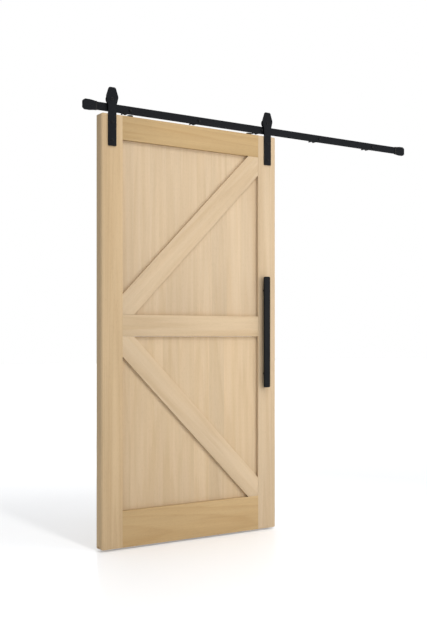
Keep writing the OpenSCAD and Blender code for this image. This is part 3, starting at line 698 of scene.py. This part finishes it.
# Each board's tree: place along it, depth, shift aside and taper
LEFT_STILE_TIMBER = timber("timber_left_stile", centre_of(left_stile), UPRIGHT,
                           (3.1, 0.055, 0.02, 0.008), shade=0.97, warmth=0.50)
RIGHT_STILE_TIMBER = timber("timber_right_stile", centre_of(right_stile), UPRIGHT,
                            (9.4, 0.040, -0.015, 0.007), shade=1.05, warmth=0.15)
TOP_RAIL_TIMBER = timber("timber_top_rail", centre_of(top_box), 0.0, (15.2, 0.050, 0.03, 0.010),
                         shade=0.79, warmth=1.05, contrast=1.2)
MIDDLE_RAIL_TIMBER = timber("timber_middle_rail", centre_of(middle_box), 0.0,
                            (21.7, 0.060, -0.01, 0.008), shade=1.02, warmth=0.25)
BOTTOM_RAIL_TIMBER = timber("timber_bottom_rail", centre_of(bottom_box), 0.0,
                            (27.9, 0.035, 0.045, 0.014), shade=0.83, warmth=1.0, contrast=1.3)

stile("left_stile_board", left_stile, left_stile[0].x, LEFT_STILE_TIMBER, "left_stile")
stile("right_stile_board", right_stile, right_stile[1].x, RIGHT_STILE_TIMBER, "right_stile",
      pull_holes=POST_Z)

DISC_SCREW_R, DISC_SCREW_L = 2.27 * MM, 32 * MM
discs_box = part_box("anti_jump_discs")
DISC_R = 15 * MM
DISC_X = (discs_box[0].x + DISC_R, discs_box[1].x - DISC_R)
DISC_Y = (discs_box[0].y + discs_box[1].y) / 2
cross_rail("top_rail_board", top_box, tenon_ends["top"],
           [(top_box[0].z - OVERCUT, top_box[0].z + GROOVE_DEPTH)], TOP_RAIL_TIMBER, "top_rail",
           [drill_down(x, DISC_Y, DISC_SCREW_R, leaf_high.z - DISC_SCREW_L,
                       leaf_high.z + OVERCUT) for x in DISC_X])
cross_rail("middle_rail_board", middle_box, tenon_ends["middle"],
           [(middle_box[0].z - OVERCUT, middle_box[0].z + GROOVE_DEPTH),
            (middle_box[1].z - GROOVE_DEPTH, middle_box[1].z + OVERCUT)],
           MIDDLE_RAIL_TIMBER, "middle_rail")
cross_rail("bottom_rail_board", bottom_box, tenon_ends["bottom"],
           [(bottom_box[1].z - GROOVE_DEPTH, bottom_box[1].z + OVERCUT)],
           BOTTOM_RAIL_TIMBER, "bottom_rail", [guide_cutter()])


# ---------- panels and braces ----------

STAVE_W = 94 * MM
PANEL_ARRIS = 0.8 * MM
PANEL_CONTRAST = 0.75


def panel(node, tree, shade, warmth):
    """A floating panel glued from upright staves, with a tongue drawn out all round."""
    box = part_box(node)
    inset = Vector((1, 0, 1)) * (TONGUE_W + PANEL_SHOULDER_FIT)
    board = block(node + "_staves", box[0] + inset, box[1] - inset)
    for y in (MID_Y - TONGUE_T / 2, MID_Y + TONGUE_T / 2):
        open_up(board, "FACE")
        bpy.ops.mesh.select_all(action="SELECT")
        bpy.ops.mesh.bisect(plane_co=(0, y, 0), plane_no=(0, 1, 0))
        let_go()
    pick(board, "FACE", lambda f: abs(f.calc_center_median().y - MID_Y) < TONGUE_T / 4
         and abs(f.normal.y) < 0.5)
    bpy.ops.mesh.extrude_region_shrink_fatten(
        TRANSFORM_OT_shrink_fatten={"value": -(TONGUE_W + PANEL_SHOULDER_FIT),
                                    "use_even_offset": True})
    let_go()
    ease(board, PANEL_ARRIS, test=lambda e: is_sharp(e) and e.is_convex)
    finish = timber("timber_" + node, centre_of(box), UPRIGHT, tree, shade=shade, warmth=warmth,
                    stave=STAVE_W, contrast=PANEL_CONTRAST)
    return hand_over(board, node, "door_leaf", finish)


BRACE_W, BRACE_HEEL = 115 * MM, 17 * MM
BRACE_FIT = 0.2 * MM


def brace(node, bay, rising, tree, shade, warmth):
    """A diagonal board laid across a bay, then sawn to the frame around it.

    bay is the bay's low and high z. rising says whether the brace rises to the right."""
    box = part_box(node)
    span, rise = BAY_RIGHT - BAY_LEFT, bay[1] - bay[0]
    slope = math.atan2(rise - 2 * BRACE_HEEL, span) * (1 if rising else -1)
    middle = Vector(((BAY_LEFT + BAY_RIGHT) / 2, (box[0].y + box[1].y) / 2, sum(bay) / 2))
    let_go()
    bpy.ops.mesh.primitive_cube_add(size=1, location=middle, rotation=(0, -slope, 0))
    board = bpy.context.object
    board.name = board.data.name = node + "_board"
    board.scale = (math.hypot(span, rise) + BRACE_W, box[1].y - box[0].y, BRACE_W)
    set_down(board)
    saw_cuts = (((BAY_LEFT + BRACE_FIT, 0, 0), (-1, 0, 0)),
                ((BAY_RIGHT - BRACE_FIT, 0, 0), (1, 0, 0)),
                ((0, 0, bay[0] + BRACE_FIT), (0, 0, -1)),
                ((0, 0, bay[1] - BRACE_FIT), (0, 0, 1)))
    for place, away in saw_cuts:
        open_up(board, "FACE")
        bpy.ops.mesh.select_all(action="SELECT")
        bpy.ops.mesh.bisect(plane_co=place, plane_no=away, use_fill=True, clear_outer=True)
        let_go()
    ease(board, ARRIS)
    finish = timber("timber_" + node, middle, slope, tree, shade=shade, warmth=warmth)
    return hand_over(board, node, "door_leaf", finish)


panel("upper_panel", (34.3, 0.020, 0.030, 0.008), 1.05, 0.1)
panel("lower_panel", (41.8, 0.024, 0.012, 0.014), 1.04, 0.25)
brace("upper_front_brace", UPPER_BAY, True, (48.1, 0.050, 0.02, 0.008), 1.05, 0.15)
brace("lower_front_brace", LOWER_BAY, False, (55.6, 0.045, -0.02, 0.008), 1.07, 0.15)
brace("upper_back_brace", UPPER_BAY, True, (62.3, 0.050, 0.01, 0.008), 1.02, 0.2)
brace("lower_back_brace", LOWER_BAY, False, (69.9, 0.060, -0.01, 0.009), 0.98, 0.3)


# ---------- track ----------

rail_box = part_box("track_rail")
screws_box, spacers_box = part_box("wall_screws"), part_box("wall_spacers")
SCREW_HOLE_R = 5.5 * MM
FLANGE_R, FLANGE_T, FLANGE_EASE = 8.5 * MM, 1.2 * MM, 0.5 * MM
HEX_W, SCREW_HEAD_ARRIS = 12.7 * MM, 0.6 * MM
SPACER_R, SPACER_EASE = 12.5 * MM, 1 * MM
SCREW_COUNT = 5
SCREW_X = [screws_box[0].x + FLANGE_R
           + k * (screws_box[1].x - screws_box[0].x - 2 * FLANGE_R) / (SCREW_COUNT - 1)
           for k in range(SCREW_COUNT)]
to_other_screws = [(x - SCREW_X[0], 0, 0) for x in SCREW_X[1:]]
RAIL_ARRIS = 0.8 * MM

rail = ease(block("track_bar", *rail_box), RAIL_ARRIS, 3)
for x in SCREW_X:
    cut(rail, drill(x, 0, SCREW_HOLE_R, rail_box[0].y - OVERCUT, rail_box[1].y + OVERCUT))
hand_over(rail, "track_rail", "track", BLACK)

spacer_y = spacers_box[0].y
spacer = turned("wall_spacer", (SCREW_X[0], 0, 0), [
    (SCREW_HOLE_R, spacer_y), (SPACER_R - SPACER_EASE, spacer_y),
    (SPACER_R, spacer_y + SPACER_EASE), (SPACER_R, -SPACER_EASE), (SPACER_R - SPACER_EASE, 0),
    (SCREW_HOLE_R, 0)], ring=True)
hand_over(repeated("wall_spacer_tubes", spacer, to_other_screws), "wall_spacers", "track",
          BLACK)


def lag_screw():
    """One wall screw: hexagon, flange, plain shank, rolled thread and point."""
    x, front, tip = SCREW_X[0], rail_box[0].y, screws_box[1].y
    head = hexagon("screw_head", x, 0, HEX_W, screws_box[0].y, front - FLANGE_T)
    ease(head, SCREW_HEAD_ARRIS)
    shank_r, root_r, pitch, point = 4 * MM, 3.1 * MM, 3 * MM, 9 * MM
    shank_end, thread_start = 2 * MM, 3 * MM
    profile = [(0, front - FLANGE_T), (FLANGE_R - FLANGE_EASE, front - FLANGE_T),
               (FLANGE_R, front - FLANGE_T + FLANGE_EASE), (FLANGE_R, front), (shank_r, front),
               (shank_r, shank_end), (root_r, thread_start)]
    y = thread_start
    while y + pitch < tip - point:
        profile += [(root_r, y + 0.25 * pitch), (shank_r, y + 0.5 * pitch),
                    (root_r, y + 0.75 * pitch)]
        y += pitch
    taper_from = y
    while y + pitch < tip - 1 * MM:
        share = 1 - (y + 0.5 * pitch - taper_from) / (tip - taper_from)
        profile += [(root_r * share, y + 0.25 * pitch), (shank_r * share, y + 0.5 * pitch),
                    (root_r * share * 0.92, y + 0.75 * pitch)]
        y += pitch
    profile.append((0, tip))
    return gather("lag_screw", [turned("screw_shank", (x, 0, 0), profile, steps=32), head])


hand_over(repeated("wall_lag_screws", lag_screw(), to_other_screws), "wall_screws", "track",
          BLACK_OXIDE)


# ---------- end stops ----------

stop_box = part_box("left_end_stop")
STOP_END = stop_box[0].x
STOP_SHOULDER, STOP_NARROW = 10 * MM, 39 * MM
STOP_END_H, STOP_INNER_H = 34 * MM, 43 * MM
WRAP_FIT = 0.1 * MM
GRUB_R, GRUB_HOLE_R, GRUB_OFFSET = 2.5 * MM, 2.52 * MM, 12 * MM
grub_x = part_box("end_stop_grub_screws")[0].x + GRUB_R
STOP_CORNER_R, STOP_ARRIS = 4 * MM, 0.6 * MM
STOP_SEED = 1 * MM                 # the slab that the cap is drawn out from
BUMPER_ARRIS = 1.2 * MM


def rail_slot(x0, x1):
    """A cutter for the rail's way into a stop, with a little room round it."""
    return block("rail_slot", (x0, rail_box[0].y - WRAP_FIT, rail_box[0].z - WRAP_FIT),
                 (x1, rail_box[1].y + WRAP_FIT, rail_box[1].z + WRAP_FIT))


def stop_cap():
    """The left stop: a slab drawn out to its shoulders and in again, then hollowed for the rail."""
    low, high = stop_box
    stop_h = high.z - low.z
    cap = block("stop_cap", (STOP_END, low.y, -STOP_END_H / 2),
                (STOP_END + STOP_SEED, high.y, STOP_END_H / 2))
    heights = ((STOP_SHOULDER, stop_h), (STOP_NARROW, stop_h), (high.x - STOP_END, STOP_INNER_H))
    here, height = STOP_SEED, STOP_END_H
    for place, new_height in heights:
        pick(cap, "FACE", lambda f: ends_at(f, 0, STOP_END + here))
        bpy.ops.mesh.extrude_region_move(
            TRANSFORM_OT_translate={"value": (place - here, 0, 0)})
        bpy.ops.transform.resize(value=(1, 1, new_height / height),
                                 center_override=(STOP_END + place, 0, 0))
        here, height = place, new_height
        let_go()
    open_up(cap, "FACE")
    bpy.ops.mesh.select_all(action="SELECT")
    bpy.ops.mesh.dissolve_limited(angle_limit=math.radians(1))
    let_go()
    ease(cap, STOP_CORNER_R, 5, lambda e: runs_along(e, 1) and not ends_at(e, 0, high.x))
    ease(cap, STOP_ARRIS)
    cut(cap, rail_slot(rail_box[0].x, high.x + OVERCUT))
    for z in (-GRUB_OFFSET, GRUB_OFFSET):
        cut(cap, drill(grub_x, z, GRUB_HOLE_R, low.y - OVERCUT, (low.y + high.y) / 2))
    return cap


def bumper():
    """The left stop's rubber collar, with the rail's slot through it."""
    low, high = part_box("left_stop_bumper")
    pad = ease(block("bumper_pad", low, high), BUMPER_ARRIS, 3)
    return cut(pad, rail_slot(low.x - OVERCUT, high.x + OVERCUT))


left_cap, left_pad = stop_cap(), bumper()
right_cap = copy_of(left_cap, "right_stop_cap", mirrored_at=0)
right_pad = copy_of(left_pad, "right_bumper_pad", mirrored_at=0)
left_cap.name, left_pad.name = "left_stop_cap", "left_bumper_pad"
for side, cap, pad in (("left", left_cap, left_pad), ("right", right_cap, right_pad)):
    hand_over(cap, side + "_end_stop", "track", BLACK)
    hand_over(pad, side + "_stop_bumper", "track", RUBBER)


# ---------- hangers ----------

STRAP_W, STRAP_END_R = 45 * MM, 3 * MM
HEAD_W, HEAD_TOP_W = 68 * MM, 36 * MM
HEAD_CORNER_R = 7 * MM
STRAP_ARRIS = 0.7 * MM
neck_z = rail_box[1].z - 13 * MM   # where the head starts to widen
wide_z = rail_box[1].z + 31 * MM   # where it is widest
wheel_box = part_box("left_wheel")
AXLE_Z = (wheel_box[0].z + wheel_box[1].z) / 2
AXLE_HOLE_R = 5 * MM
SOCKET_W, SOCKET_FLOOR = 0.84, 0.45  # a socket's width and its floor's height, as head's shares


def strap_plate():
    """The left strap: a flat bar whose head is drawn out wide and in again, then drilled."""
    x = HANGER_X[0]
    plate = block("strap_plate", (x - STRAP_W / 2, strap_low.y, strap_low.z),
                  (x + STRAP_W / 2, strap_high.y, neck_z))
    here, width = neck_z, STRAP_W
    for z, new_width in ((wide_z, HEAD_W), (strap_high.z, HEAD_TOP_W)):
        pick(plate, "FACE", lambda f: ends_at(f, 2, here))
        bpy.ops.mesh.extrude_region_move(TRANSFORM_OT_translate={"value": (0, 0, z - here)})
        bpy.ops.transform.resize(value=(new_width / width, 1, 1), center_override=(x, 0, z))
        here, width = z, new_width
        let_go()
    ease(plate, HEAD_CORNER_R, 6, lambda e: runs_along(e, 1) and e.verts[0].co.z > neck_z + 1 * MM)
    ease(plate, STRAP_END_R, 4, lambda e: runs_along(e, 1) and ends_at(e, 2, strap_low.z))
    ease(plate, STRAP_ARRIS, 3, lambda e: is_sharp(e) and not runs_along(e, 1))
    for z in BOLT_Z:
        cut(plate, drill(x, z, BOLT_HOLE_R, strap_low.y - OVERCUT, strap_high.y + OVERCUT))
    return cut(plate, drill(x, AXLE_Z, AXLE_HOLE_R, strap_low.y - OVERCUT,
                            strap_high.y + OVERCUT))


def socket_bolt(name, x, z, head_r, head_h, shank_r, front, tip):
    """A domed bolt with a hexagon socket, its head on the plane y = front."""
    rim_ease, tip_ease = 0.3 * MM, 0.6 * MM
    crown = [(r, front - up) for r, up in dome(head_r, head_h, head_h / 4)]
    profile = [(0, tip), (shank_r - tip_ease, tip), (shank_r, tip - tip_ease), (shank_r, front),
               (head_r - rim_ease, front), (head_r, front - rim_ease), *crown]
    socket_w = SOCKET_W * head_r * math.sqrt(3) / 2
    return cut(turned(name, (x, 0, z), profile, steps=40),
               hexagon("socket", x, z, socket_w, front - head_h - OVERCUT,
                       front - head_h * SOCKET_FLOOR))


STRAP_FRONT = strap_low.y
left_plate = strap_plate()
left_plate.name = "left_strap_plate"
right_plate = copy_of(left_plate, "right_strap_plate", to_right_hanger)
hand_over(left_plate, "left_hanger_strap", "door_leaf", BLACK)
hand_over(right_plate, "right_hanger_strap", "door_leaf", BLACK)

to_other_bolts = [(x - HANGER_X[0], 0, z - BOLT_Z[0]) for x in HANGER_X for z in BOLT_Z][1:]
bolt = socket_bolt("hanger_bolt", HANGER_X[0], BOLT_Z[0], head_r=8 * MM, head_h=4 * MM,
                   shank_r=4 * MM, front=STRAP_FRONT, tip=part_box("hanger_bolts")[1].y)
hand_over(repeated("hanger_bolt_set", bolt, to_other_bolts), "hanger_bolts", "door_leaf",
          BLACK_OXIDE)

SLEEVE_R, SLEEVE_EASE, SLEEVE_BORE_R, SLEEVE_BORE_L = 5.5 * MM, 0.3 * MM, 4.02 * MM, 23 * MM
SLEEVE_HEAD_R, SLEEVE_HEAD_TOP_R, SLEEVE_HEAD_EDGE = 8 * MM, 7.2 * MM, 1.2 * MM
SLEEVE_SOCKET_W, SLEEVE_SOCKET_D = 6 * MM, 3 * MM
nut_front, nut_back = (corner.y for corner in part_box("hanger_sleeve_nuts"))
bore_end = nut_front + SLEEVE_BORE_L
sleeve = turned("sleeve_nut", (HANGER_X[0], 0, BOLT_Z[0]), [
    (SLEEVE_BORE_R, nut_front), (5.2 * MM, nut_front), (SLEEVE_R, nut_front + SLEEVE_EASE),
    (SLEEVE_R, BACK), (SLEEVE_HEAD_R, BACK), (SLEEVE_HEAD_R, BACK + SLEEVE_HEAD_EDGE),
    (SLEEVE_HEAD_TOP_R, nut_back), (0, nut_back), (0, bore_end), (SLEEVE_BORE_R, bore_end)],
    steps=40, ring=True)
cut(sleeve, hexagon("socket", HANGER_X[0], BOLT_Z[0], SLEEVE_SOCKET_W, BACK - SLEEVE_SOCKET_D,
                    nut_back + OVERCUT))
hand_over(repeated("sleeve_nut_set", sleeve, to_other_bolts), "hanger_sleeve_nuts", "door_leaf",
          BLACK_OXIDE)

axle = socket_bolt("axle_bolt", HANGER_X[0], AXLE_Z, head_r=9 * MM, head_h=4.5 * MM,
                   shank_r=4.95 * MM, front=STRAP_FRONT, tip=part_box("axle_bolts")[1].y)
hand_over(repeated("axle_bolt_pair", axle, [to_right_hanger]), "axle_bolts", "door_leaf",
          BLACK_OXIDE)

NUT_W, NUT_ARRIS, NUT_BORE_R = 17 * MM, 0.7 * MM, 4.97 * MM
nuts_low, nuts_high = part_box("axle_nuts")
nut = hexagon("axle_nut", HANGER_X[0], AXLE_Z, NUT_W, nuts_low.y, nuts_high.y)
ease(nut, NUT_ARRIS)
cut(nut, drill(HANGER_X[0], AXLE_Z, NUT_BORE_R, nuts_low.y - OVERCUT, nuts_high.y + OVERCUT))
hand_over(repeated("axle_nut_pair", nut, [to_right_hanger]), "axle_nuts", "door_leaf",
          BLACK_OXIDE)


# ---------- wheels ----------

def wheel_body(name, x):
    """A grooved wheel, turned, with its bearing seat open at the back."""
    front, back = wheel_box[0].y, wheel_box[1].y
    mid = (front + back) / 2
    flange_r = (wheel_box[1].z - wheel_box[0].z) / 2
    tread_r, groove = flange_r - 5 * MM, 4 * MM
    soft, bite = 1 * MM, 0.3       # the flanges' rounding, and its middle point as a share of it
    shoulder_r, seat_r, seat_end, lead = 10.8 * MM, 13.02 * MM, mid - 4 * MM, 0.4 * MM
    dish = 0.8 * MM                # depth of the ring sunk into the front, between two radii
    dish_in, dish_out = 17 * MM, 22.4 * MM
    return turned(name, (x, 0, AXLE_Z), [
        (shoulder_r, front + lead), (11.2 * MM, front), (dish_in, front),
        (17.8 * MM, front + dish), (21.6 * MM, front + dish), (dish_out, front),
        (flange_r - soft, front), (flange_r - bite * soft, front + bite * soft),
        (flange_r, front + soft), (flange_r, mid - groove - soft),
        (flange_r - bite * soft, mid - groove - bite * soft), (flange_r - soft, mid - groove),
        (tread_r, mid - groove), (tread_r, mid + groove), (flange_r - soft, mid + groove),
        (flange_r - bite * soft, mid + groove + bite * soft), (flange_r, mid + groove + soft),
        (flange_r, back - soft), (flange_r - bite * soft, back - bite * soft),
        (flange_r - soft, back), (13.4 * MM, back), (seat_r, back - lead), (seat_r, seat_end),
        (shoulder_r, seat_end)], steps=96, ring=True)


for side, x in zip(("left", "right"), HANGER_X):
    hand_over(wheel_body(side + "_wheel_body", x), side + "_wheel", side + "_wheel_unit",
              BLACK, angle=30)


# ---------- anti-jump discs ----------

DISC_FOOT_EASE, DISC_TOP_EASE, DISC_TOP_MID = 0.5 * MM, 1.2 * MM, 0.4 * MM
DISC_BORE_R, SINK_R, SINK_D = 2.45 * MM, 4.7 * MM, 2.25 * MM   # bore, and its countersink
disc_foot, disc_top = discs_box[0].z, discs_box[1].z
disc = turned("anti_jump_disc", (DISC_X[0], DISC_Y, 0), [
    (DISC_BORE_R, disc_foot), (DISC_R - DISC_FOOT_EASE, disc_foot),
    (DISC_R, disc_foot + DISC_FOOT_EASE), (DISC_R, disc_top - DISC_TOP_EASE),
    (DISC_R - DISC_TOP_MID, disc_top - DISC_TOP_MID), (DISC_R - DISC_TOP_EASE, disc_top),
    (SINK_R, disc_top), (DISC_BORE_R, disc_top - SINK_D)], axis="Z", steps=64, ring=True)
hand_over(repeated("anti_jump_disc_pair", disc, [(DISC_X[1] - DISC_X[0], 0, 0)]),
          "anti_jump_discs", "door_leaf", BLACK)


# ---------- pull ----------

PULL_CORNER_R, PULL_ARRIS = 8 * MM, 1.2 * MM
STUB_R, STUB_HOLE_R, STUB_HOLE_L, STUB_EASE = 4 * MM, 4.02 * MM, 6 * MM, 0.4 * MM
POST_EASE, POST_BORE_R, POST_BORE_L = 0.5 * MM, 3.02 * MM, 14 * MM
to_upper_post = (0, 0, POST_Z[1] - POST_Z[0])


def pull_plate():
    """A flat bar with rounded corners and two blind holes for its posts."""
    low, high = pull_box
    plate = block("pull_plate", low, high)
    ease(plate, PULL_CORNER_R, 8, lambda e: runs_along(e, 1))
    ease(plate, PULL_ARRIS, 3)
    for z in POST_Z:
        cut(plate, drill(PULL_X, z, STUB_HOLE_R, high.y - STUB_HOLE_L, high.y + OVERCUT))
    return plate


hand_over(pull_plate(), "pull_bar", "door_leaf", BLACK)

stub_y, post_y = posts_box[0].y, pull_box[1].y
post = turned("pull_post", (PULL_X, 0, POST_Z[0]), [
    (0, stub_y), (STUB_R - STUB_EASE, stub_y), (STUB_R, stub_y + STUB_EASE), (STUB_R, post_y),
    (POST_R - POST_EASE, post_y), (POST_R, post_y + POST_EASE), (POST_R, FRONT - POST_EASE),
    (POST_R - POST_EASE, FRONT), (POST_BORE_R, FRONT), (POST_BORE_R, FRONT - POST_BORE_L),
    (0, FRONT - POST_BORE_L)], steps=40)
hand_over(repeated("pull_post_pair", post, [to_upper_post]), "pull_posts", "door_leaf",
          BLACK)

PULL_BOLT_R, PULL_BOLT_EASE, PULL_HEAD_R, PULL_HEAD_EASE = 3 * MM, 0.4 * MM, 6.6 * MM, 0.2 * MM
PULL_SOCKET_W, PULL_SOCKET_FLOOR = 4 * MM, 1 * MM
bolt_tip, bolt_top = (corner.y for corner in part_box("pull_bolts"))
head_h = bolt_top - BACK
crown = [(r, BACK + up) for r, up in dome(PULL_HEAD_R, head_h, head_h / 4)]
pull_bolt = turned("pull_bolt", (PULL_X, 0, POST_Z[0]), [
    (0, bolt_tip), (PULL_BOLT_R - PULL_BOLT_EASE, bolt_tip),
    (PULL_BOLT_R, bolt_tip + PULL_BOLT_EASE), (PULL_BOLT_R, BACK),
    (PULL_HEAD_R - PULL_HEAD_EASE, BACK), (PULL_HEAD_R, BACK + PULL_HEAD_EASE), *crown],
    steps=40)
cut(pull_bolt, hexagon("socket", PULL_X, POST_Z[0], PULL_SOCKET_W, BACK + PULL_SOCKET_FLOOR,
                       bolt_top + OVERCUT))
hand_over(repeated("pull_bolt_pair", pull_bolt, [to_upper_post]), "pull_bolts", "door_leaf",
          BLACK_OXIDE)


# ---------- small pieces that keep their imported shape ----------

KEPT = {
    "end_stop_grub_screws": ("black_steel", BLACK_OXIDE),
    "axle_spacers": ("bearing_steel", BRIGHT),
    "bearing_inner_rings": ("bearing_steel", BRIGHT),
    "axle_washers": ("bearing_steel", BRIGHT),
    "anti_jump_screws": ("black_steel", BLACK_OXIDE),
    "left_bearing_outer_ring": ("bearing_steel", BRIGHT),
    "right_bearing_outer_ring": ("bearing_steel", BRIGHT),
    "left_bearing_seals": ("black_rubber", RUBBER),
    "right_bearing_seals": ("black_rubber", RUBBER),
    "left_bearing_cage": ("cage_brass", BRASS),
    "right_bearing_cage": ("cage_brass", BRASS),
    "left_bearing_balls": ("bearing_steel", BRIGHT),
    "right_bearing_balls": ("bearing_steel", BRIGHT),
}
for node, (slot, finish) in KEPT.items():
    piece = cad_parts[node]
    piece.data.materials.clear()
    piece.data.materials.append(finish)

let_go()
